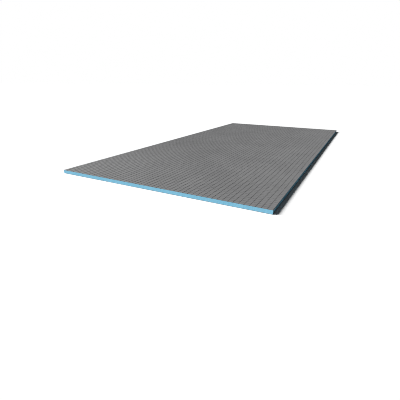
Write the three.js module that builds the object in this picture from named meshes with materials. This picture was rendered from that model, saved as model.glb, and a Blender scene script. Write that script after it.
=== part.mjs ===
// Foam tile backer board: a rigid foam core between two thin skins of polymer cement.
//
// The board is sold as one flat sheet, 1250 x 600 mm and 10 mm thick. A sheet of blue
// extruded polystyrene carries the thickness. Each broad side of it is rendered with a
// cement skin that is reinforced with glass-fibre mesh, so tile adhesive can bond to it.
// The four edges are sawn square after the skins have cured, so foam shows on all of them.
//
// Millimetres, +Z up. The origin is at the centre of the face that the board lies on,
// X runs across the width, Y along the length and Z through the thickness.

import * as THREE from "three";

// Driving dimensions.
const BOARD_WIDTH = 600;
const BOARD_LENGTH = 1250;
const BOARD_THICKNESS = 10;
const SKIN_THICKNESS = 0.7; // cement over the foam, mesh included, on each broad side
const ARRIS_EASE = 0.25; // the brittle outer corner of a skin is rubbed down by this much

// A mesh stores 32-bit numbers. The thicknesses are rounded to such numbers first, so that
// a skin's inner face and the foam's outer face lie at exactly the same height.
const skinThickness = Math.fround(SKIN_THICKNESS);
const coreThickness = Math.fround(BOARD_THICKNESS - 2 * SKIN_THICKNESS);

const foam = new THREE.MeshStandardMaterial({
  name: "xps_foam",
  color: new THREE.Color().setRGB(0.43, 0.75, 0.9, THREE.SRGBColorSpace),
  roughness: 0.7,
  metalness: 0,
});
const cement = new THREE.MeshStandardMaterial({
  name: "cement_skin",
  color: new THREE.Color().setRGB(0.48, 0.48, 0.49, THREE.SRGBColorSpace),
  roughness: 0.9,
  metalness: 0,
});

// The foam sheet, centred on its own middle.
function coreGeometry() {
  return new THREE.BoxGeometry(BOARD_WIDTH, BOARD_LENGTH, coreThickness);
}

// One cement skin, with its bonded face at z = 0 and its outer face up. It is three stacked
// rectangles joined into a closed shell: the bond line, the shoulder below the eased corner,
// and the outer face, which is smaller by the ease on every side.
function skinGeometry() {
  const levels = [
    { z: 0, inset: 0 },
    { z: skinThickness - ARRIS_EASE, inset: 0 },
    { z: skinThickness, inset: ARRIS_EASE },
  ];
  const corners = 4;
  const positions = levels.flatMap(({ z, inset }) => {
    const x = BOARD_WIDTH / 2 - inset;
    const y = BOARD_LENGTH / 2 - inset;
    return [-x, -y, z, x, -y, z, x, y, z, -x, y, z];
  });

  const faces = [];
  const outer = (levels.length - 1) * corners;
  for (let corner = 1; corner < corners - 1; corner++) {
    faces.push(0, corner + 1, corner); // the bonded face looks down
    faces.push(outer, outer + corner, outer + corner + 1); // the outer face looks up
  }
  for (let level = 0; level < levels.length - 1; level++) {
    for (let corner = 0; corner < corners; corner++) {
      const here = level * corners + corner;
      const next = level * corners + ((corner + 1) % corners);
      faces.push(here, next, next + corners);
      faces.push(here, next + corners, here + corners);
    }
  }

  const geometry = new THREE.BufferGeometry();
  geometry.setAttribute("position", new THREE.Float32BufferAttribute(positions, 3));
  geometry.setIndex(faces);
  geometry.computeVertexNormals();
  return geometry;
}

function namedMesh(name, geometry, material) {
  const mesh = new THREE.Mesh(geometry, material);
  mesh.name = name;
  return mesh;
}

const core = namedMesh("foam_core", coreGeometry(), foam);
core.position.z = skinThickness + coreThickness / 2;

const tileSkin = namedMesh("tile_side_skin", skinGeometry(), cement);
tileSkin.position.z = skinThickness + coreThickness;

const backSkin = namedMesh("back_side_skin", skinGeometry(), cement);
backSkin.position.z = skinThickness;
backSkin.rotation.x = Math.PI; // outer face down, bonded face up against the foam

const board = new THREE.Group();
board.name = "foam_tile_backer_board";
board.add(backSkin, core, tileSkin);

export default board;
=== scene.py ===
# %% [markdown]
# # A foam tile backer board
#
# A tile backer board is a sheet of rigid blue foam with a thin grey cement skin on both broad
# sides. A glass-fibre mesh lies in each skin, and its yarns show as a grid of darker lines. The
# board is sawn to size after the cement has cured, so the foam and the ends of the yarns show
# on all four edges.
#
# The plain board comes from CAD as three boxes: the foam core and the two skins. This lesson
# keeps their sizes and swaps each box for a mesh that has the real surface. We load the boxes
# first, because everything below is measured from them.

import math

import bpy
import numpy as np
from mathutils import Matrix, Vector


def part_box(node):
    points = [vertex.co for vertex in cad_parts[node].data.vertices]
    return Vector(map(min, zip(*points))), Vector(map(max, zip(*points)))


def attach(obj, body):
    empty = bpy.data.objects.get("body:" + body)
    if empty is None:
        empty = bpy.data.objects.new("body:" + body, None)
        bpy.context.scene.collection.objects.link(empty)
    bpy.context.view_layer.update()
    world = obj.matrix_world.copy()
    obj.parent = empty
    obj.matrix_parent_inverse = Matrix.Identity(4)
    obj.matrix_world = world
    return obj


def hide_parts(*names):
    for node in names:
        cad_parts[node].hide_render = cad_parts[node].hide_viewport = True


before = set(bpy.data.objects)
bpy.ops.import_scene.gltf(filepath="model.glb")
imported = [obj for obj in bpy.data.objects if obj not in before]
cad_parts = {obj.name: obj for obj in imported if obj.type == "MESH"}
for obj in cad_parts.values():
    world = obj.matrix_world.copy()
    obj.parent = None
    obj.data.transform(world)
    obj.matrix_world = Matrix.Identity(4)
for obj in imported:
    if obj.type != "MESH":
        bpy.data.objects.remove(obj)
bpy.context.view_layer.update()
print("plain pieces:", sorted(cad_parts))

# %% [markdown]
# ## The sizes to keep
#
# A finish must never change how big the board is. The half width, half length and heights are
# read from the plain boxes, so if the board is made in another size, every piece below follows.

# %% Read the sizes
core_low, core_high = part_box("foam_core")
skin_low, skin_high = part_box("tile_side_skin")
HALF_WIDTH = core_high.x
HALF_LENGTH = core_high.y
THICKNESS = skin_high.z
SKIN = skin_high.z - skin_low.z
MM = 0.001  # Blender works in metres, and this surface is made of tenths of a millimetre
print(f"board {2 * HALF_WIDTH:.3f} x {2 * HALF_LENGTH:.3f} x {THICKNESS:.3f} m")
print(f"skin {SKIN / MM:.2f} mm")

# %% [markdown]
# ## The camera
#
# The picture is taken from a little above the board, off its front right corner, with a wide
# lens, so the sheet narrows strongly towards the back. A camera can be aimed with a Track To
# constraint, but three turns say more plainly what the photographer did: face along the board,
# swing to the left, dip the lens, and hold the camera very slightly crooked.

# %% Set up the camera
CAMERA_PLACE = Vector((0.4299, -1.1756, 0.2420))
SWING_LEFT = math.radians(27.99)
DIP = math.radians(21.16)
CROOKED = math.radians(0.41)
LENS = 27.23  # millimetres
SENSOR_WIDTH = 36  # millimetres, as on full-frame film

lens = bpy.data.cameras.new("product_camera")
lens.lens = LENS
lens.sensor_width = SENSOR_WIDTH
lens.clip_start = 0.01
lens.clip_end = 200
camera = bpy.data.objects.new("product_camera", lens)
bpy.context.scene.collection.objects.link(camera)
swing = Matrix.Rotation(SWING_LEFT, 4, "Z")
dip = Matrix.Rotation(math.radians(90) - DIP, 4, "X")
crooked = Matrix.Rotation(CROOKED, 4, "Z")
camera.matrix_world = Matrix.Translation(CAMERA_PLACE) @ swing @ dip @ crooked
bpy.context.scene.camera = camera
print("camera", tuple(round(c, 3) for c in camera.location), "lens", LENS, "mm")

# %% [markdown]
# ## The floor
#
# The board lies on a plain pale floor, one huge square that runs out of sight.
#
# A white floor also works as a reflector, and it would light up the edges that are turned away
# from the lamp. In the picture those edges are almost black. We could paint the floor grey, but
# then it would look grey too. The Light Path node tells a ray that comes straight from the
# camera from one that has bounced: the camera sees a white floor, and the board a grey one.

# %% Lay the floor
FLOOR_SIDE = 80
FLOOR_SEEN = (0.9, 0.9, 0.9, 1)
FLOOR_BOUNCED = (0.45, 0.45, 0.45, 1)


def straight_from_camera(tree):
    """1 for a ray that comes straight from the camera, and 0 for one that has bounced."""
    return tree.nodes.new("ShaderNodeLightPath").outputs["Is Camera Ray"]


def floor_paint():
    """A matt paint that is paler to the camera than to the board."""
    paint = bpy.data.materials.new("studio_floor")
    paint.use_nodes = True
    tree = paint.node_tree
    tone = tree.nodes.new("ShaderNodeMix")
    tone.data_type = "RGBA"
    tone.inputs["A"].default_value = FLOOR_BOUNCED
    tone.inputs["B"].default_value = FLOOR_SEEN
    tree.links.new(straight_from_camera(tree), tone.inputs["Factor"])
    shader = tree.nodes["Principled BSDF"]
    tree.links.new(tone.outputs["Result"], shader.inputs["Base Color"])
    shader.inputs["Roughness"].default_value = 1
    shader.inputs["Specular IOR Level"].default_value = 0
    return paint


def make_floor():
    """One square at the height that the board lies on."""
    half = FLOOR_SIDE / 2
    corners = [(-half, -half, 0), (half, -half, 0), (half, half, 0), (-half, half, 0)]
    mesh = bpy.data.meshes.new("studio_floor")
    mesh.from_pydata(corners, [], [(0, 1, 2, 3)])
    mesh.materials.append(floor_paint())
    floor = bpy.data.objects.new("studio_floor", mesh)
    bpy.context.scene.collection.objects.link(floor)
    return floor


floor = make_floor()
print("floor", FLOOR_SIDE, "m square at z", floor.location.z)

# %% [markdown]
# ## The background
#
# The background has two jobs that pull apart as well. It should look white, but if it also lit
# the scene at full strength, every shadow would vanish. The same trick helps: the camera sees
# white, and the objects get a much dimmer, slightly cool fill.

# %% Make the background
FILL_STRENGTH = 0.05
FILL_TINT = (0.93, 0.96, 1, 1)


def make_background():
    """White to the camera, and a dim even fill to everything else."""
    world = bpy.data.worlds.new("studio")
    world.use_nodes = True
    tree = world.node_tree
    seen = tree.nodes["Background"]
    seen.inputs["Color"].default_value = (1, 1, 1, 1)
    fill = tree.nodes.new("ShaderNodeBackground")
    fill.inputs["Color"].default_value = FILL_TINT
    fill.inputs["Strength"].default_value = FILL_STRENGTH
    choice = tree.nodes.new("ShaderNodeMixShader")
    tree.links.new(straight_from_camera(tree), choice.inputs[0])
    tree.links.new(fill.outputs[0], choice.inputs[1])
    tree.links.new(seen.outputs[0], choice.inputs[2])
    tree.links.new(choice.outputs[0], tree.nodes["World Output"].inputs["Surface"])
    return world


bpy.context.scene.world = make_background()
print("background fill", FILL_STRENGTH)

# %% [markdown]
# ## The lamp
#
# One big soft lamp stands to the front left. An Area lamp is the usual softbox, but its light
# falls off along a board that is longer than a metre. A Sun lamp with a wide angle is as strong
# at the far end as at the near end, and its shadow still has a soft edge.

# %% Hang the lamp
SUN_STRENGTH = 6.15
SUN_SOFTNESS = math.radians(22)
SUN_HEIGHT = math.radians(34)
SUN_TO_THE_LEFT = math.radians(62)


def make_lamp():
    """A wide, soft sun, and the direction from the board towards it."""
    data = bpy.data.lights.new("soft_key", "SUN")
    data.energy = SUN_STRENGTH
    data.angle = SUN_SOFTNESS
    lamp = bpy.data.objects.new("soft_key", data)
    across = math.cos(SUN_HEIGHT)
    left = across * math.sin(SUN_TO_THE_LEFT)
    forward = across * math.cos(SUN_TO_THE_LEFT)
    towards = Vector((-left, -forward, math.sin(SUN_HEIGHT)))
    lamp.rotation_euler = towards.to_track_quat("Z", "Y").to_euler()
    bpy.context.scene.collection.objects.link(lamp)
    return towards


print("lamp towards", tuple(round(c, 2) for c in make_lamp()))

# %% [markdown]
# ## How the picture is developed
#
# Blender's default colour view rolls bright tones off. A product picture on pure white is
# closer to the Standard view, which shows the colours as they are.
#
# Such pictures are also sharpened until fine lines stand out. Cycles blurs each pixel a little
# over its neighbours, and a narrower pixel filter keeps the yarns of the mesh as crisp as they
# are in the picture.

# %% Choose the colour view and the pixel filter
PIXEL_FILTER = 0.95  # in pixels, and 1.5 is the usual softness

bpy.context.scene.view_settings.view_transform = "Standard"
bpy.context.scene.cycles.filter_width = PIXEL_FILTER
print("colour view", bpy.context.scene.view_settings.view_transform)

# %% [markdown]
# ## The glass-fibre mesh as a net of knots
#
# The mesh is woven before it is pressed into the wet cement. Its warp yarns run along the
# board, its weft yarns run across, and they meet at knots. The cells are a little wider than
# they are long. We ask for a cell size and round it to whole cells, so that the net fits the
# board exactly.

# %% Choose the cells of the net
CELL_ACROSS = 12.25 * MM  # from one warp yarn to the next
CELL_ALONG = 11.0 * MM  # from one weft yarn to the next
COLUMNS = round(2 * HALF_WIDTH / CELL_ACROSS)
ROWS = round(2 * HALF_LENGTH / CELL_ALONG)
real_across = 2 * HALF_WIDTH / COLUMNS
real_along = 2 * HALF_LENGTH / ROWS
print(f"{COLUMNS} x {ROWS} cells of {real_across / MM:.2f} x {real_along / MM:.2f} mm")

# %% [markdown]
# ## Dragging the net
#
# On the real board the net is never perfectly square, because the coating blade drags it. We
# could bend each yarn on its own and then try to fit the cement around it. It is simpler to
# move the knots once and let everything ask the net where it is.
#
# Three long sine waves with random turns make a smooth drag, and a little noise on each knot
# keeps neighbours from lining up. The knots on the rim stay on the edges of the board.

# %% Lay the knots
DRAG = 0.22 * MM  # how far the cement drags the net in long waves
JITTER = 0.05 * MM  # how far one knot sits from its neighbours' line
WAVE_LENGTHS = (0.9, 0.41, 0.23)


def long_waves(s, t, rng):
    """A gentle field of about -1 to 1 over s and t, made of three long waves."""
    total = 0
    for length in WAVE_LENGTHS:
        turn = rng.uniform(0, 2 * math.pi)
        lean = rng.uniform(-0.5, 0.5)
        total = total + np.sin(2 * math.pi * (t + lean * s) / length + turn) / 2
    return total


def lay_net(rng):
    """The x and y of each knot, as two arrays of (column, row)."""
    u, v = np.meshgrid(np.arange(COLUMNS + 1.0), np.arange(ROWS + 1.0), indexing="ij")
    x = (u / COLUMNS * 2 - 1) * HALF_WIDTH
    y = (v / ROWS * 2 - 1) * HALF_LENGTH
    inside_x = (u > 0) & (u < COLUMNS)
    inside_y = (v > 0) & (v < ROWS)
    shift_x = DRAG * long_waves(x, y, rng) + rng.normal(0, JITTER, u.shape)
    shift_y = DRAG * long_waves(y, x, rng) + rng.normal(0, JITTER, u.shape)
    return x + inside_x * shift_x, y + inside_y * shift_y


TILE_SIDE, BACK_SIDE = 1, -1
rng = np.random.default_rng(1250)
nets = {side: lay_net(rng) for side in (TILE_SIDE, BACK_SIDE)}
print("knots on each side:", nets[TILE_SIDE][0].size)

# %% [markdown]
# ## Asking the net for a place
#
# A place on the net is counted in cells: u across the board and v along it. Whole numbers are
# yarns, and 0.5 is the middle between two. In between, the place is a blend of the four knots
# around it.

# %% Find a place on the net
def on_net(net, u, v):
    """The x and y of places on the net, between the four knots around each."""
    i = np.clip(np.floor(u).astype(int), 0, COLUMNS - 1)
    j = np.clip(np.floor(v).astype(int), 0, ROWS - 1)
    s, t = u - i, v - j
    found = []
    for knots in net:
        near = knots[i, j] * (1 - s) + knots[i + 1, j] * s
        far = knots[i, j + 1] * (1 - s) + knots[i + 1, j + 1] * s
        found.append(near * (1 - t) + far * t)
    return found


middle_x, middle_y = on_net(nets[TILE_SIDE], np.array(COLUMNS / 2), np.array(ROWS / 2))
print(f"the net's middle lies at {middle_x / MM:.2f}, {middle_y / MM:.2f} mm")

# %% [markdown]
# ## From numbers to a mesh
#
# These surfaces have tens of thousands of faces, so they are worked out as arrays of numbers
# and handed to Blender in one go. Doing the same with operators or bmesh would be slower and
# no clearer. A piece is smooth-shaded, and where two faces meet at more than the crease angle
# the edge stays sharp, as at the sawn corners of the board.
#
# The underside is the same as the top, turned over. Each surface is described by its depth
# below the board's outer face, so one set of functions makes both sides.

# %% Helpers for meshes
CREASE = math.radians(50)


def height_on(side, depth):
    """The z of a point that lies this deep below the outer face of a side."""
    return THICKNESS - depth if side == TILE_SIDE else depth


def turned_for(side, faces):
    """Faces that were drawn for the tile side, wound the other way for the back."""
    return faces if side == TILE_SIDE else [face[::-1] for face in faces]


def make_piece(name, points, faces, finish):
    """A new object from points and faces, with its finish, in the scene."""
    mesh = bpy.data.meshes.new(name)
    mesh.from_pydata(points.reshape(-1, 3), [], faces)
    mesh.shade_smooth()
    mesh.set_sharp_from_angle(angle=CREASE)
    mesh.materials.append(finish)
    piece = bpy.data.objects.new(name, mesh)
    bpy.context.scene.collection.objects.link(piece)
    triangles = sum(len(face.vertices) - 2 for face in mesh.polygons)
    print(f"{name}: {len(mesh.vertices)} points, {triangles} triangles")
    return piece


print("outer faces at z", height_on(BACK_SIDE, 0), "and", round(height_on(TILE_SIDE, 0), 4))

# %% [markdown]
# ## What a finish starts from
#
# Every finish here is procedural: noise and cell patterns drive the colour, the roughness and
# the small bumps. A picture of cement would be quicker, but it repeats, and it shows its pixels
# when the camera comes close.
#
# Patterns are placed by object coordinates, in metres, so a scale of 1000 makes features of
# about a millimetre on any piece. Each helper adds one node and returns the socket that comes
# out of it, which keeps a finish readable as a list of what it is made of.

# %% Helpers that start a finish
def new_finish(name):
    """A material with its node tree and its shader."""
    finish = bpy.data.materials.new(name)
    finish.use_nodes = True
    tree = finish.node_tree
    return finish, tree, tree.nodes["Principled BSDF"]


def feed(tree, socket, value):
    """Links a socket to another, or sets it to a plain value."""
    if isinstance(value, bpy.types.NodeSocket):
        tree.links.new(value, socket)
    else:
        socket.default_value = value


def object_place(tree, stretch=(1, 1, 1)):
    """Object coordinates, with each axis multiplied by its stretch."""
    coordinates = tree.nodes.new("ShaderNodeTexCoord")
    scaled = tree.nodes.new("ShaderNodeVectorMath")
    scaled.operation = "MULTIPLY"
    tree.links.new(coordinates.outputs["Object"], scaled.inputs[0])
    scaled.inputs[1].default_value = stretch
    return scaled.outputs[0]


print("helpers to start a finish: new_finish, feed, object_place")

# %% [markdown]
# ## Patterns
#
# Two patterns are enough for this board. Noise gives clouds, streaks and sand, depending on
# its scale and stretch. A Voronoi texture scatters points and tells how far the nearest one
# is, which gives grains, pinholes and foam cells.

# %% Helpers for patterns
def noise(tree, place, scale, detail=2.0, rough=0.5):
    """Soft noise from 0 to 1, with features about 1 / scale metres wide."""
    node = tree.nodes.new("ShaderNodeTexNoise")
    tree.links.new(place, node.inputs["Vector"])
    node.inputs["Scale"].default_value = scale
    node.inputs["Detail"].default_value = detail
    node.inputs["Roughness"].default_value = rough
    return node.outputs["Fac"]


def cells(tree, place, scale):
    """The distance to the nearest of many scattered points, and that point's own colour."""
    node = tree.nodes.new("ShaderNodeTexVoronoi")
    tree.links.new(place, node.inputs["Vector"])
    node.inputs["Scale"].default_value = scale
    return node.outputs["Distance"], node.outputs["Color"]


print("helpers for patterns: noise, cells")

# %% [markdown]
# ## Ranges and sums
#
# A Map Range node moves a pattern from one range to another and clamps the rest, and a finish
# uses it more than anything else. Noise hovers around 0.5 and rarely comes near 0 or 1, so one
# helper stretches the useful middle of it. A tone is often a sum of patterns, each with its own
# share, and another helper adds them up.

# %% Helpers for ranges and sums
NOISE_LOW, NOISE_HIGH = 0.3, 0.7  # nearly all of a noise lies between these


def maths(tree, operation, *values):
    """One Math node."""
    node = tree.nodes.new("ShaderNodeMath")
    node.operation = operation
    for socket, value in zip(node.inputs, values):
        feed(tree, socket, value)
    return node.outputs[0]


def ramp(tree, value, low, high, out_low=0.0, out_high=1.0):
    """Moves value from the range low to high into another range, and clamps it."""
    node = tree.nodes.new("ShaderNodeMapRange")
    for socket, number in zip(node.inputs, (value, low, high, out_low, out_high)):
        feed(tree, socket, number)
    return node.outputs[0]


def spread(tree, pattern, out_low=0.0, out_high=1.0):
    """Stretches the useful middle of a noise over another range."""
    return ramp(tree, pattern, NOISE_LOW, NOISE_HIGH, out_low, out_high)


def weighted(tree, *parts):
    """The sum of patterns, each given with its share."""
    total = 0
    for pattern, share in parts:
        total = maths(tree, "MULTIPLY_ADD", pattern, share, total)
    return total


print(f"a noise of {NOISE_LOW} counts as 0, and one of {NOISE_HIGH} as 1")

# %% [markdown]
# ## Colours and bumps
#
# Two helpers turn patterns into something that can be seen. One blends two colours, and the
# other makes small relief. The relief only bends the light: it can't change an outline, so it
# is kept for what is far smaller than a yarn.

# %% Helpers for colours and bumps
def mixed_colour(tree, share, first, second):
    """first where share is 0, and second where it is 1."""
    node = tree.nodes.new("ShaderNodeMix")
    node.data_type = "RGBA"
    feed(tree, node.inputs["Factor"], share)
    feed(tree, node.inputs["A"], first)
    feed(tree, node.inputs["B"], second)
    return node.outputs["Result"]


def bumps(tree, shader, height, distance):
    """Small relief from a height of 0 to 1 that stands for this distance in metres."""
    node = tree.nodes.new("ShaderNodeBump")
    node.inputs["Distance"].default_value = distance
    tree.links.new(height, node.inputs["Height"])
    tree.links.new(node.outputs["Normal"], shader.inputs["Normal"])


print("helpers for colours and bumps: mixed_colour, bumps")

# %% [markdown]
# ## A painted pool of light
#
# In the picture the near left corner is clearly paler than the rest. A second lamp beside it
# would do that, but it would also make the render grainier and smear the fine lines. So the
# finish paints that light into the cement as a pale pool: it fades with the distance from the
# corner, and clouds fray its edge.

# %% Painted light in one corner
# painted light: the front left corner of the cement is drawn paler
PAINTED_LIGHT_TONE = (0.33, 0.33, 0.33, 1)
PAINTED_LIGHT_STRONGEST = 0.42  # how much of the painted light's colour shows in the corner
PAINTED_LIGHT_STRETCH = 0.7  # below 1, so that the painted light reaches further along the board than across
PAINTED_LIGHT_FULL, PAINTED_LIGHT_ENDS = 0.06, 0.42  # metres from the corner, in stretched lengths
PAINTED_LIGHT_FRAY = 0.12  # how far the clouds move the edge of the painted light, in metres


def painted_corner_light(tree, clouds):
    """How much painted light lies on the cement, most of it in the front left corner."""
    corner = tree.nodes.new("ShaderNodeVectorMath")
    corner.operation = "DISTANCE"
    tree.links.new(object_place(tree, (1, PAINTED_LIGHT_STRETCH, 0)), corner.inputs[0])
    corner.inputs[1].default_value = (-HALF_WIDTH, -HALF_LENGTH * PAINTED_LIGHT_STRETCH, 0)
    frayed = maths(tree, "MULTIPLY_ADD", clouds, PAINTED_LIGHT_FRAY, corner.outputs["Value"])
    return ramp(tree, frayed, PAINTED_LIGHT_FULL, PAINTED_LIGHT_ENDS, PAINTED_LIGHT_STRONGEST, 0)


# how far the painted light in the corner reaches
reach = PAINTED_LIGHT_ENDS / PAINTED_LIGHT_STRETCH
print(f"bloom reaches {PAINTED_LIGHT_ENDS:.2f} m across the board and {reach:.2f} m along it")

# %% [markdown]
# ## The tone of the cement
#
# Cured polymer cement is a flat mid grey that is never quite even. Real boards show cloudy
# patches as big as a hand, faint streaks along the length where the coating blade ran, and
# sand. Each gets its share of one tone between a dark and a light grey, and painted light in
# the front left corner goes on top.

# %% Tone of the cement
CEMENT_DARK = (0.146, 0.146, 0.148, 1)
CEMENT_LIGHT = (0.23, 0.23, 0.232, 1)
CLOUD_SCALE = 7  # clouds of about 14 cm
BLADE_STREAKS = (90, 5, 90)  # smallest along the board, so the streaks run that way
CLOUDS_SHARE, STREAKS_SHARE, SAND_SHARE = 0.42, 0.2, 0.38


def cement_tone(tree, sand):
    """Clouds, blade streaks and sand, with painted light in one corner."""
    clouds = noise(tree, object_place(tree), CLOUD_SCALE, detail=4, rough=0.6)
    streaks = noise(tree, object_place(tree, BLADE_STREAKS), 1, detail=3)
    tone = weighted(
        tree,
        (spread(tree, clouds), CLOUDS_SHARE),
        (spread(tree, streaks), STREAKS_SHARE),
        (spread(tree, sand), SAND_SHARE),
    )
    colour = mixed_colour(tree, tone, CEMENT_DARK, CEMENT_LIGHT)
    # painted light: the front left corner is drawn paler
    return mixed_colour(tree, painted_corner_light(tree, clouds), colour, PAINTED_LIGHT_TONE)


print("cement between", CEMENT_DARK[:3], "and", CEMENT_LIGHT[:3])

# %% [markdown]
# ## The margins of the yarns
#
# Close to each yarn the cement is drawn a trace darker. For that the finish has to know how
# far it is from a yarn. Each point of the skin carries its place on the net as an attribute,
# and a Ping-Pong node folds that place to the distance from the nearest whole number, which is
# the nearest yarn.

# %% Darker beside a yarn
NET_PLACE = "net_place"  # the attribute that holds u and v on each point of a skin
# the darker tone drawn close to each yarn
DARKER_BESIDE_YARN = (0.09, 0.09, 0.092, 1)
MARGIN_SHARE = 0.12  # how much of the darker colour shows right at a yarn
MARGIN_STARTS = 0.05  # in cells from the middle of a yarn
MARGIN_ENDS_WARP, MARGIN_ENDS_WEFT = 0.17, 0.13


def beside_yarn(tree):
    """MARGIN_SHARE at a yarn, and 0 where the margin ends."""
    place = tree.nodes.new("ShaderNodeAttribute")
    place.attribute_name = NET_PLACE
    parts = tree.nodes.new("ShaderNodeSeparateXYZ")
    tree.links.new(place.outputs["Vector"], parts.inputs[0])
    from_warp = maths(tree, "PINGPONG", parts.outputs["X"], 0.5)
    from_weft = maths(tree, "PINGPONG", parts.outputs["Y"], 0.5)
    clear_of_warp = ramp(tree, from_warp, MARGIN_STARTS, MARGIN_ENDS_WARP)
    clear_of_weft = ramp(tree, from_weft, MARGIN_STARTS, MARGIN_ENDS_WEFT)
    clear_of_both = maths(tree, "MINIMUM", clear_of_warp, clear_of_weft)
    return ramp(tree, clear_of_both, 0, 1, MARGIN_SHARE, 0)


margin = MARGIN_ENDS_WARP * real_across / MM
print(f"margin of a warp yarn: {margin:.1f} mm to each side, from the attribute", NET_PLACE)

# %% [markdown]
# ## Grains, pinholes and the sawn wall
#
# Single pale sand grains break the surface here and there, and air has left pinholes. Both are
# Voronoi points: a grain or hole is drawn close to a point, and only where that point's own
# random colour is high, so they are rare and scattered.
#
# Where the saw has cut through the skin, the cement is drawn darker: partly the dense inside
# that shows, and partly painted shade on the walls that face sideways.
# The finish finds that wall by where the surface points: sideways, and not up or down.

# %% Specks on the cement
SAND_GRAIN = (0.3, 0.297, 0.29, 1)
# painted shade: the dark colour inside a pinhole
PINHOLE_SHADE = (0.05, 0.05, 0.05, 1)
# partly painted shade: the sawn walls of a skin are drawn darker than its faces
SAWN_CEMENT_AND_SHADE = (0.07, 0.07, 0.072, 1)
GRAIN_SCALE, PINHOLE_SCALE = 800, 260
GRAIN_SOLID, GRAIN_ENDS = 0.2, 0.42  # distances from its point, as shares of the spacing
PINHOLE_SOLID, PINHOLE_ENDS = 0.12, 0.2
GRAIN_PALEST = 0.5  # how much of the grain's colour shows on the palest one
RARE_GRAIN = (0.72, 0.9)  # random values from which a grain starts to show, and shows fully
RARE_PINHOLE = (0.9, 0.92)
WALL_BELOW, FACE_ABOVE = 0.3, 0.7  # how much a surface points up or down, from 0 to 1


def sand_grains(tree, place):
    """How far a point is from a grain, and how much of the pale grain colour it has."""
    distance, colour = cells(tree, place, GRAIN_SCALE)
    round_grain = ramp(tree, distance, GRAIN_SOLID, GRAIN_ENDS, 1, 0)
    rare = ramp(tree, colour, *RARE_GRAIN, 0, GRAIN_PALEST)
    return distance, maths(tree, "MULTIPLY", round_grain, rare)


def pinholes(tree, place):
    """1 in a pinhole, and 0 elsewhere."""
    distance, colour = cells(tree, place, PINHOLE_SCALE)
    round_hole = ramp(tree, distance, PINHOLE_SOLID, PINHOLE_ENDS, 1, 0)
    return maths(tree, "MULTIPLY", round_hole, ramp(tree, colour, *RARE_PINHOLE))


def sawn_wall_and_shade(tree):
    """1 on the sawn walls of a skin and 0 on its broad faces."""
    coordinates = tree.nodes.new("ShaderNodeTexCoord")
    parts = tree.nodes.new("ShaderNodeSeparateXYZ")
    tree.links.new(coordinates.outputs["Normal"], parts.inputs[0])
    upright = maths(tree, "ABSOLUTE", parts.outputs["Z"])
    return ramp(tree, upright, WALL_BELOW, FACE_ABOVE, 1, 0)


print(f"grains every {1000 / GRAIN_SCALE:.1f} mm, pinholes every {1000 / PINHOLE_SCALE:.1f} mm")

# %% [markdown]
# ## The finish of the cement
#
# Now the layers go on top of each other, as they lie on the board. The bumps come from the
# same patterns as the colours, so a pinhole is a real hole whose dark colour is painted shade,
# and a pale grain sits in the faint hollow where the slurry has worn off it. Separate patterns
# would be as easy, but then the light would show relief in one place and the colour in another.

# %% Cement finish
CEMENT_RELIEF = 0.12 * MM
CEMENT_ROUGH = (0.82, 0.96)  # in the smoothest and in the sandiest places
CEMENT_SHINE = 0.3
SAND_SCALE = 1300
HOLE_SHADE = 0.7  # how much of the painted shade shows in a hole
BETWEEN_GRAINS, HOLE_HEIGHT = 0.3, -1.5  # heights next to the sand, which counts as 1
HOLLOW_ENDS = 0.6  # distance from a grain, as a share of the spacing


def cement_finish():
    """Grey cement with everything that the steps above describe."""
    finish, tree, shader = new_finish("cement_skin")
    place = object_place(tree)
    sand = noise(tree, place, SAND_SCALE, detail=3, rough=0.7)
    grain_distance, pale_grain = sand_grains(tree, place)
    hole = pinholes(tree, place)

    colour = cement_tone(tree, sand)
    colour = mixed_colour(tree, pale_grain, colour, SAND_GRAIN)
    colour = mixed_colour(tree, beside_yarn(tree), colour, DARKER_BESIDE_YARN)
    # painted shade in each pinhole
    colour = mixed_colour(tree, maths(tree, "MULTIPLY", hole, HOLE_SHADE), colour, PINHOLE_SHADE)
    # the sawn walls darker, partly painted shade
    colour = mixed_colour(tree, sawn_wall_and_shade(tree), colour, SAWN_CEMENT_AND_SHADE)
    tree.links.new(colour, shader.inputs["Base Color"])

    tree.links.new(spread(tree, sand, *CEMENT_ROUGH), shader.inputs["Roughness"])
    shader.inputs["Specular IOR Level"].default_value = CEMENT_SHINE
    between_grains = ramp(tree, grain_distance, 0, HOLLOW_ENDS)
    height = weighted(
        tree,
        (sand, 1),
        (between_grains, BETWEEN_GRAINS),
        (hole, HOLE_HEIGHT),
    )
    bumps(tree, shader, height, CEMENT_RELIEF)
    return finish


cement = cement_finish()
print("cement finish:", len(cement.node_tree.nodes), "nodes")

# %% [markdown]
# ## The shape of a cement skin
#
# A skin is a closed shell under a millimetre thick. Between the yarns the wet cement sinks a
# little, so every cell of the mesh is a very shallow dish. That is true shape, and low light
# catches it, so it is modelled and not left to bump. A grid with three points in each cell is
# enough: one in the middle of the dish, and two just beside the yarns.

# %% Depth of the cement
DISH_EDGE = 0.26 * MM  # depth of the cement beside a yarn
DISH_MIDDLE = 0.37 * MM  # depth in the middle of a cell
BESIDE_YARN = 0.09  # in cells


def places_in_cells(cell_count):
    """The net places of the grid along one axis: the two rims and three in each cell."""
    inner = np.arange(cell_count)[:, None] + np.array([BESIDE_YARN, 0.5, 1 - BESIDE_YARN])
    return np.concatenate([[0], inner.ravel(), [cell_count]])


def cement_depth(u, v):
    """How deep the cement lies below the outer face of the board, without unevenness."""
    dish = np.abs(np.sin(math.pi * u) * np.sin(math.pi * v))
    return DISH_EDGE + (DISH_MIDDLE - DISH_EDGE) * dish


print("grid of a skin:", places_in_cells(COLUMNS).size, "x", places_in_cells(ROWS).size)

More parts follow.
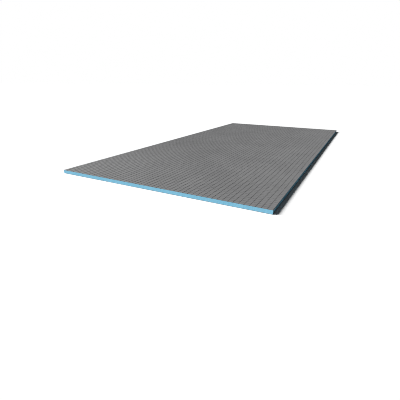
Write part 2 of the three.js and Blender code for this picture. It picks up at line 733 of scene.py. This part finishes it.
# %% [markdown]
# ## Loops of points
#
# The rim of a skin has three loops of points: where its face ends, where its sawn wall begins,
# and where that wall meets the foam. These two helpers pick the outer points of a grid and
# join one loop to the next with a band of quads. The foam core uses the second one too.

# %% Helpers for loops
def rim_of(number):
    """The outer points of a numbered grid, counter-clockwise seen from above."""
    front, right = number[:-1, 0], number[-1, :-1]
    back, left = number[:0:-1, -1], number[0, :0:-1]
    return np.concatenate([front, right, back, left])


def band(lower, upper):
    """Quads that join two loops of points and face outwards."""
    loops = (lower, np.roll(lower, -1), np.roll(upper, -1), upper)
    return np.stack(loops, axis=-1).tolist()


print("rim of a small grid:", rim_of(np.arange(9).reshape(3, 3)).tolist())

# %% [markdown]
# ## A flat map for the export
#
# When the board is exported, each finish is baked to a picture that is wrapped round the piece
# by a UV map. Blender can unwrap a mesh by itself, but for a flat sheet its plan is already
# the perfect map, and it keeps the thin yarns in place beside each other.

# %% Helpers for flat maps
def flat_map(piece, across, along):
    """A map of a piece to the unit square, onto which its finish is baked."""
    layer = piece.data.uv_layers.new(name="OFBake")
    owner = np.empty(len(piece.data.loops), dtype=np.int32)
    piece.data.loops.foreach_get("vertex_index", owner)
    places = np.stack([across[owner], along[owner]], axis=-1)
    layer.uv.foreach_set("vector", places.ravel())


def map_from_above(piece):
    """The flat map of a piece that lies on a broad side: its plan."""
    places = np.empty(3 * len(piece.data.vertices))
    piece.data.vertices.foreach_get("co", places)
    x, y, _ = places.reshape(-1, 3).T
    flat_map(piece, x / HALF_WIDTH / 2 + 0.5, y / HALF_LENGTH / 2 + 0.5)


proportion = HALF_LENGTH / HALF_WIDTH
print(f"the unit square stands for the plan, {proportion:.2f} times as long as wide")

# %% [markdown]
# ## The chipped rim
#
# The sawn corner of a skin is brittle. It is rubbed down by about a quarter of a millimetre,
# and here and there a bigger crumb is missing. A random number raised to a high power is
# nearly always close to 0 and rarely close to 1, which is just how chips occur.

# %% Rim of a skin
RIM_EASE = 0.25 * MM
ON_THE_EDGE = 0.01 * MM  # a point this close to the edge of the board lies on it
LEAST_WEAR, UNEVEN_WEAR = 0.6, 0.5  # as shares of the ease
BIGGEST_CRUMB = 1.2  # as a share of the ease
CRUMB_POWER = 12  # the higher, the rarer the big crumbs


def chipped(wall, half, chips):
    """Places on one axis, moved inwards where they lie on the edge of the board."""
    return wall - np.sign(wall) * chips * (np.abs(wall) > half - ON_THE_EDGE)


def chip_sizes(count, rng):
    """How far the corner is rubbed down at each point of the rim."""
    wear = UNEVEN_WEAR * rng.random(count)
    crumbs = BIGGEST_CRUMB * rng.random(count) ** CRUMB_POWER
    return RIM_EASE * (LEAST_WEAR + wear + crumbs)


sample = chip_sizes(1000, np.random.default_rng(1))
print(f"chips of {sample.min() / MM:.2f} to {sample.max() / MM:.2f} mm")

# %% [markdown]
# ## The cement skins
#
# A skin is its dished face, the chipped rim, the sawn wall, and one large face that is bonded
# to the foam. The shell is closed, as a real skin is a solid, and a program that measures it
# can trust its volume.

# %% Make the cement skins
TROWEL = 0.025 * MM  # random unevenness of the coat
HIGHEST_LUMP = 0.5 * DISH_EDGE  # a lump of cement never rises above this depth
DEEPEST_HOLLOW = 1.4 * DISH_MIDDLE  # and no hollow comes near the foam


def cement_skin(name, side, net, rng):
    """One cement skin, from its net."""
    u, v = np.meshgrid(places_in_cells(COLUMNS), places_in_cells(ROWS), indexing="ij")
    x, y = (places.ravel() for places in on_net(net, u, v))
    depth = cement_depth(u, v) + rng.normal(0, TROWEL, u.shape)
    depth = np.clip(depth, HIGHEST_LUMP, DEEPEST_HOLLOW).ravel()
    number = np.arange(u.size).reshape(u.shape)
    rim = rim_of(number)
    wall_x, wall_y = x[rim], y[rim]

    chips = chip_sizes(rim.size, rng)
    face = np.stack([x, y, height_on(side, depth)], axis=-1)
    face[rim, 0] = chipped(wall_x, HALF_WIDTH, chips)
    face[rim, 1] = chipped(wall_y, HALF_LENGTH, chips)
    shoulder = np.stack([wall_x, wall_y, height_on(side, depth[rim] + chips)], axis=-1)
    foot = np.stack([wall_x, wall_y, np.full(rim.size, height_on(side, SKIN))], axis=-1)

    corners = (number[:-1, :-1], number[1:, :-1], number[1:, 1:], number[:-1, 1:])
    faces = np.stack(corners, axis=-1).reshape(-1, 4).tolist()
    shoulder_loop = number.size + np.arange(rim.size)
    foot_loop = shoulder_loop + rim.size
    faces += band(shoulder_loop, rim) + band(foot_loop, shoulder_loop)
    faces.append(foot_loop[::-1].tolist())
    points = np.concatenate([face, shoulder, foot])
    piece = make_piece(name, points, turned_for(side, faces), cement)

    place = np.stack([u.ravel(), v.ravel(), np.zeros(u.size)], axis=-1)
    place = np.concatenate([place, place[rim], place[rim]])
    attribute = piece.data.attributes.new(NET_PLACE, "FLOAT_VECTOR", "POINT")
    attribute.data.foreach_set("vector", place.ravel())
    map_from_above(piece)
    return piece


tile_cement = cement_skin("tile_side_cement", TILE_SIDE, nets[TILE_SIDE], rng)
back_cement = cement_skin("back_side_cement", BACK_SIDE, nets[BACK_SIDE], rng)

# %% [markdown]
# ## The finish of the yarns
#
# The glass fibre is coated against the lime in the cement, and it cures to a dark grey. Each
# yarn is a bundle of long filaments, which show as very fine streaks along it. Noise that is
# stretched a hundred times in one direction gives such streaks.
#
# Some grey slurry stays on the yarns in patches. There is more of it on the weft, which lies
# lower. Its share also rises in a slope from the left edge of the board to the right, and that
# slope is painted shade: the yarns are drawn darker towards the left, so the lines along the
# board get fainter to the right. Painting each yarn in its own grey would give even lines, so
# noise decides where the patches lie on the slope.

# %% Yarn finish
YARN_CORE = (0.046, 0.046, 0.048, 1)
YARN_FIBRE = (0.09, 0.09, 0.092, 1)
SLURRY = (0.165, 0.165, 0.167, 1)
SLURRY_COVER = 0.85  # a film of slurry never hides the glass quite
SLURRY_SCALE = 160  # patches of about 6 mm
SLURRY_AND_SHADE_SLOPE = 0.5  # how much a full share of the slope of slurry and painted shade adds to the noise of the patches
PATCH_STARTS, PATCH_FULL = 0.64, 0.8  # sums of noise and slope
YARN_RELIEF = 0.06 * MM
YARN_SHINE = 0.35
BARE_ROUGH, SLURRY_ROUGH = 0.62, 0.9
ALONG_Y, ALONG_X = (5000, 45, 5000), (45, 5000, 5000)  # smallest along the filaments


def slurry_and_shade_slope(tree, left, right):
    """How much slurry covers a yarn, from the left edge of the board to the right one; the
    slope is also painted shade, darker to the left.
    """
    parts = tree.nodes.new("ShaderNodeSeparateXYZ")
    tree.links.new(object_place(tree), parts.inputs[0])
    return ramp(tree, parts.outputs["X"], -HALF_WIDTH, HALF_WIDTH, left, right)


def yarn_finish(name, direction, slurry_and_shade_left, slurry_and_shade_right):
    """Fine streaks along the yarn, under patches of dried slurry, with painted shade that
    darkens the yarns towards the left edge.
    """
    finish, tree, shader = new_finish(name)
    fibres = noise(tree, object_place(tree, direction), 1, detail=3, rough=0.6)
    colour = mixed_colour(tree, spread(tree, fibres), YARN_CORE, YARN_FIBRE)
    patches = noise(tree, object_place(tree), SLURRY_SCALE, detail=4, rough=0.7)
    # painted shade: less slurry, and so darker yarns, towards the left edge
    share = slurry_and_shade_slope(tree, slurry_and_shade_left, slurry_and_shade_right)
    slurry_and_shade = maths(tree, "MULTIPLY_ADD", share, SLURRY_AND_SHADE_SLOPE, patches)
    residue_and_shade = ramp(tree, slurry_and_shade, PATCH_STARTS, PATCH_FULL, 0, SLURRY_COVER)
    colour = mixed_colour(tree, residue_and_shade, colour, SLURRY)
    tree.links.new(colour, shader.inputs["Base Color"])
    roughness = ramp(tree, residue_and_shade, 0, SLURRY_COVER, BARE_ROUGH, SLURRY_ROUGH)
    tree.links.new(roughness, shader.inputs["Roughness"])
    shader.inputs["Specular IOR Level"].default_value = YARN_SHINE
    bumps(tree, shader, maths(tree, "ADD", fibres, residue_and_shade), YARN_RELIEF)
    return finish


# slopes of slurry and painted shade across the board
warp_glass = yarn_finish("glass_warp", ALONG_Y, slurry_and_shade_left=0, slurry_and_shade_right=0.6)
weft_glass = yarn_finish("glass_weft", ALONG_X, slurry_and_shade_left=0.36, slurry_and_shade_right=0.5)
print("yarn finishes:", warp_glass.name, weft_glass.name)

# %% [markdown]
# ## Many tubes at once
#
# A curve with a bevel could draw one yarn, but the board has thousands of twists. They are
# easier to write as one array: tubes, rings along each tube, corners round each ring. Only the
# crest of a yarn shows above the cement, so four or five corners are enough: two feet that
# are buried in the cement, and a crest that smooth shading makes round.

# %% Helper for tubes
def tubes(rings):
    """The faces of closed tubes, from an array of tube, ring, corner and xyz.

    The corners of a ring go over the yarn, from its left foot to its right foot.
    """
    number = np.arange(rings[..., 0].size).reshape(rings.shape[:3])
    turned = np.roll(number, -1, axis=2)
    sides = (number[:, :-1], turned[:, :-1], turned[:, 1:], number[:, 1:])
    faces = np.stack(sides, axis=-1).reshape(-1, 4).tolist()
    faces += number[:, 0, ::-1].tolist()
    faces += number[:, -1].tolist()
    return faces


print("a tube with two rings of three corners has", len(tubes(np.zeros((1, 2, 3, 3)))), "faces")

# %% [markdown]
# ## The warp yarns
#
# Plasterer's mesh is leno weave. Every warp yarn is a pair of strands that cross over each
# other between one weft yarn and the next, and so clamp the weft. Seen from above, the two
# strands swing from side to side as a cosine and its mirror image. Where they cross, one lies
# a little deeper than the other, and a sine says which.
#
# The strands stand a quarter of a millimetre proud of the cement. The steep side that turns
# away from the lamp lies in shade, so in a picture taken from low down the lines along the
# board look darker than the glass is.

# %% Make the warp yarns
STRAND_WIDTH = 0.85 * MM
STRAND_APART = 0.5 * MM  # each strand from the middle of its pair, where they lie apart
STRAND_FLAT = 0.4  # how far out the flat crest reaches, as a share of the half width
RINGS_PER_TWIST = 2
CREST_DEPTH = 0.012 * MM  # from the outer face of the board down to the highest crest
UNDER_STRAND = 0.05 * MM  # how much deeper the lower strand lies where two cross
BURIED = 0.05 * MM  # how deep the feet reach into the cement
STRAND_UNEVEN = 0.14  # how much the width of a strand changes, as a share of it
CREST_UNEVEN = 0.01 * MM  # how much deeper a crest may dip here and there


def warp_pairs(name, side, net, rng):
    """All warp yarns of one side, each as two twisted strands."""
    line, strand, v = np.meshgrid(
        np.arange(1.0, COLUMNS),
        [-1.0, 1.0],
        np.linspace(0, ROWS, RINGS_PER_TWIST * ROWS + 1),
        indexing="ij",
    )
    x, y = on_net(net, line, v)
    middle = x + strand * STRAND_APART * np.cos(math.pi * v)
    half = STRAND_WIDTH / 2 * rng.uniform(1 - STRAND_UNEVEN, 1 + STRAND_UNEVEN, v.shape)
    lower = (1 - strand * np.sin(math.pi * v)) / 2
    crest = CREST_DEPTH + UNDER_STRAND * lower + rng.uniform(0, CREST_UNEVEN, v.shape)
    foot = cement_depth(BESIDE_YARN, v) + BURIED
    flat = half * STRAND_FLAT
    ring = [
        (middle - half, foot),
        (middle - flat, crest),
        (middle + flat, crest),
        (middle + half, foot),
    ]
    corners = [np.stack([across, y, height_on(side, depth)], axis=-1) for across, depth in ring]
    rings = np.stack(corners, axis=-2).reshape(-1, v.shape[2], len(ring), 3)
    piece = make_piece(name, rings, turned_for(side, tubes(rings)), warp_glass)
    map_from_above(piece)
    return piece


tile_warp = warp_pairs("tile_side_warp_yarns", TILE_SIDE, nets[TILE_SIDE], rng)
back_warp = warp_pairs("back_side_warp_yarns", BACK_SIDE, nets[BACK_SIDE], rng)

# %% [markdown]
# ## The weft yarns
#
# A weft yarn is one flat bundle. Nothing twists it, so it spreads under the coating blade and
# is wider and flatter than a warp strand. It lies a little deeper, because the warp pairs hold
# it down, and more cement covers it, so in the picture the lines across are the faint ones.

# %% Make the weft yarns
WEFT_WIDTH = 1.5 * MM
WEFT_DEPTH = 0.05 * MM  # from the outer face of the board down to the highest crest
WEFT_SHOULDER = 0.6  # how far out the flat top reaches, as a share of the half width
SHOULDER_DROP = 0.25  # how far down the shoulder lies, from the crest to the foot
WEFT_UNEVEN = 0.18  # of its width, as for a strand
WEFT_CREST_UNEVEN = 0.03 * MM
RINGS_PER_CELL = 2


def weft_yarns(name, side, net, rng):
    """All weft yarns of one side, as flat tubes across the board."""
    line, u = np.meshgrid(
        np.arange(1.0, ROWS),
        np.linspace(0, COLUMNS, RINGS_PER_CELL * COLUMNS + 1),
        indexing="ij",
    )
    x, y = on_net(net, u, line)
    half = WEFT_WIDTH / 2 * rng.uniform(1 - WEFT_UNEVEN, 1 + WEFT_UNEVEN, u.shape)
    crest = WEFT_DEPTH + rng.uniform(0, WEFT_CREST_UNEVEN, u.shape)
    foot = cement_depth(u, BESIDE_YARN) + BURIED
    shoulder = crest + SHOULDER_DROP * (foot - crest)
    ring = [
        (half, foot),
        (half * WEFT_SHOULDER, shoulder),
        (0 * half, crest),
        (-half * WEFT_SHOULDER, shoulder),
        (-half, foot),
    ]
    corners = [np.stack([x, y + out, height_on(side, depth)], axis=-1) for out, depth in ring]
    rings = np.stack(corners, axis=-2)
    piece = make_piece(name, rings, turned_for(side, tubes(rings)), weft_glass)
    map_from_above(piece)
    return piece


tile_weft = weft_yarns("tile_side_weft_yarns", TILE_SIDE, nets[TILE_SIDE], rng)
back_weft = weft_yarns("back_side_weft_yarns", BACK_SIDE, nets[BACK_SIDE], rng)

# %% [markdown]
# ## The finish of the foam
#
# Extruded polystyrene is a mass of closed cells a few tenths of a millimetre wide. Where a saw
# has cut them open, the surface is matt and faintly glittering. The open cells are hollows,
# drawn deeper blue inside and paler where the cell walls stand up, which is painted shade.
# A Voronoi pattern is the natural choice for cells. Noise that is drawn out upwards adds the
# fine marks of the saw, and rare pale spots are torn cells.

# %% Foam finish
# its deep end also carries the painted shade inside the cut cells
FOAM_DEEP_AND_SHADED = (0.149, 0.42, 0.592, 1)
FOAM_PALE = (0.252, 0.548, 0.72, 1)
FOAM_TORN = (0.42, 0.63, 0.7, 1)
FOAM_RELIEF = 0.07 * MM
FOAM_ROUGH = (0.75, 0.95)  # each cell has its own roughness between these
FOAM_SHINE = 0.15
FOAM_CELL_SCALE, DRIFT_SCALE, TORN_SCALE = 2200, 25, 420
SAW_MARKS = (900, 900, 90)  # smallest upwards, so the marks run up the edge
CELLS_SHARE, DRIFT_SHARE, MARKS_SHARE = 0.4, 0.25, 0.35
TORN_STRONGEST = 0.6  # how much of the torn colour shows
TORN_STARTS, TORN_FULL = 0.66, 0.74  # values of the noise
PIT_STARTS, PIT_FULL = 0.6, 0.8
CELL_MIDDLE, CELL_WALL = 0.1, 0.75  # distances in a cell, as shares of the spacing
SMOOTHEST, ROUGHEST = 0.2, 0.9  # random values of a cell
MARK_HEIGHT, TORN_HEIGHT = 1.5, -0.8  # next to the cells, which count as 1


def foam_finish():
    """Blue foam with cut cells that get painted shade in their hollows, a slow change of tone
    and pale torn spots.
    """
    finish, tree, shader = new_finish("xps_foam")
    place = object_place(tree)
    cell_distance, cell_colour = cells(tree, place, FOAM_CELL_SCALE)
    drift = noise(tree, place, DRIFT_SCALE, detail=3)
    marks = noise(tree, object_place(tree, SAW_MARKS), 1, detail=3)
    torn = noise(tree, place, TORN_SCALE, detail=3, rough=0.7)

    tone = weighted(
        tree,
        # painted shade: deeper blue in the hollows of the cells
        (ramp(tree, cell_distance, CELL_MIDDLE, CELL_WALL), CELLS_SHARE),
        (spread(tree, drift), DRIFT_SHARE),
        (spread(tree, marks), MARKS_SHARE),
    )
    colour = mixed_colour(tree, tone, FOAM_DEEP_AND_SHADED, FOAM_PALE)
    torn_spots = ramp(tree, torn, TORN_STARTS, TORN_FULL, 0, TORN_STRONGEST)
    colour = mixed_colour(tree, torn_spots, colour, FOAM_TORN)
    tree.links.new(colour, shader.inputs["Base Color"])

    roughness = ramp(tree, cell_colour, SMOOTHEST, ROUGHEST, *FOAM_ROUGH)
    tree.links.new(roughness, shader.inputs["Roughness"])
    shader.inputs["Specular IOR Level"].default_value = FOAM_SHINE
    torn_pits = ramp(tree, torn, PIT_STARTS, PIT_FULL)
    height = weighted(
        tree,
        (cell_distance, 1),
        (torn_pits, TORN_HEIGHT),
        (marks, MARK_HEIGHT),
    )
    bumps(tree, shader, height, FOAM_RELIEF)
    return finish


foam = foam_finish()
print("foam finish:", len(foam.node_tree.nodes), "nodes")

# %% [markdown]
# ## The marks of the saw
#
# Only the four edges of the core can be seen. A band saw leaves slanted, evenly spaced marks a
# few hundredths of a millimetre deep, and it wanders very slightly over the length of a cut.
# A Displace modifier could press such marks in, but it would also move points outwards past
# the true size. Here each point moves straight inwards by a worked out depth, so the board
# can't grow. The depth fades out at the corners, where two walls have to meet.

# %% Depth of the saw marks
SAW_PITCH = 3.4 * MM
SAW_SLANT = 0.45  # how far a mark leans along the edge for each unit of height
SAW_DEPTH = 0.09 * MM  # of the marks alone
SAW_WANDER = 0.06 * MM  # how far the whole cut strays inwards
CORNER_KEEP = 3 * MM  # over this distance the depth fades to nothing at a corner
SAW_STRAY = 0.35  # how far the marks stray from even spacing, in marks
SAW_GRAIN = 0.25  # random roughness, as a share of the depth


def saw_depth(along, up, length, rng):
    """How far a sawn wall lies inside the true edge."""
    phase = (along + SAW_SLANT * up) / SAW_PITCH
    phase = phase + SAW_STRAY * long_waves(0, along, rng)
    stroke = np.sin(2 * math.pi * phase) * 0.5 + 0.5
    wander = long_waves(0, along, rng) / 3 + 0.5
    grain = rng.random(along.shape) * SAW_GRAIN
    depth = SAW_DEPTH * (stroke ** 2 + grain) + SAW_WANDER * np.clip(wander, 0, 1)
    to_corner = np.minimum(along, length - along)
    return depth * np.clip(to_corner / CORNER_KEEP, 0, 1)


sample = saw_depth(np.linspace(0, 1, 1000), 0, 1, np.random.default_rng(1))
print(f"saw marks every {SAW_PITCH / MM:.1f} mm, up to {sample.max() / MM:.2f} mm deep")

# %% [markdown]
# ## One sawn wall
#
# A wall is a grid of points from one corner of the board to the next, with a few rows from the
# bottom to the top. Each wall also gets its own strip of the flat map.

# %% Points of a sawn wall
SAW_STEP = 0.8 * MM  # from one column of points on a wall to the next
SAW_ROWS = 6
SIDES = 4
CORNERS = [
    (-HALF_WIDTH, -HALF_LENGTH),
    (HALF_WIDTH, -HALF_LENGTH),
    (HALF_WIDTH, HALF_LENGTH),
    (-HALF_WIDTH, HALF_LENGTH),
]


def sawn_wall(index, heights, rng):
    """The points of the wall that starts at a corner, and their places on the flat map."""
    start = np.array(CORNERS[index])
    end = np.array(CORNERS[(index + 1) % SIDES])
    length = np.linalg.norm(end - start)
    ahead = (end - start) / length
    inward = np.array([-ahead[1], ahead[0]])
    count = round(length / SAW_STEP)
    along, up = np.meshgrid(np.arange(count) / count * length, heights)
    depth = saw_depth(along, up, length, rng)
    x = start[0] + ahead[0] * along + inward[0] * depth
    y = start[1] + ahead[1] * along + inward[1] * depth
    share = (up - core_low.z) / (core_high.z - core_low.z)
    strip = np.stack([along / (2 * HALF_LENGTH), (index + share) / SIDES], axis=-1)
    return np.stack([x, y, up], axis=-1), strip


print("columns of points on a long wall:", round(2 * HALF_LENGTH / SAW_STEP))

# %% [markdown]
# ## The foam core
#
# The four walls join into loops that run right round the board. A band of quads goes between
# each loop and the next, and one flat face closes the bottom and one the top.

# %% Make the foam core
def sawn_core(name, rng):
    """The foam sheet: four sawn walls between two flat faces."""
    heights = np.linspace(core_low.z, core_high.z, SAW_ROWS + 1)
    walls, strips = zip(*(sawn_wall(index, heights, rng) for index in range(SIDES)))
    points = np.concatenate(walls, axis=1)
    number = np.arange(points[..., 0].size).reshape(points.shape[:2])
    faces = []
    for row in range(SAW_ROWS):
        faces += band(number[row], number[row + 1])
    faces.append(number[0, ::-1].tolist())
    faces.append(number[-1].tolist())
    piece = make_piece(name, points, faces, foam)
    across, along = np.concatenate(strips, axis=1).reshape(-1, 2).T
    flat_map(piece, across, along)
    return piece


core = sawn_core("sawn_foam_core", rng)

# %% [markdown]
# ## Put the pieces on the board
#
# The board has no joint, so everything rides on its one body. Each new piece is listed with
# the finish that it belongs to in the board's record, which nothing here uses, and the plain
# box that it stands for, which is hidden. The yarns are cast into the skins, so they stand for
# the same box as their cement.

# %% Hand the pieces over
for piece, slot, plain in (
    (core, "xps_foam", "foam_core"),
    (tile_cement, "cement_skin", "tile_side_skin"),
    (tile_warp, "cement_skin", "tile_side_skin"),
    (tile_weft, "cement_skin", "tile_side_skin"),
    (back_cement, "cement_skin", "back_side_skin"),
    (back_warp, "cement_skin", "back_side_skin"),
    (back_weft, "cement_skin", "back_side_skin"),
):
    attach(piece, "root")
    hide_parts(plain)
    print(piece.name, "stands for", plain)
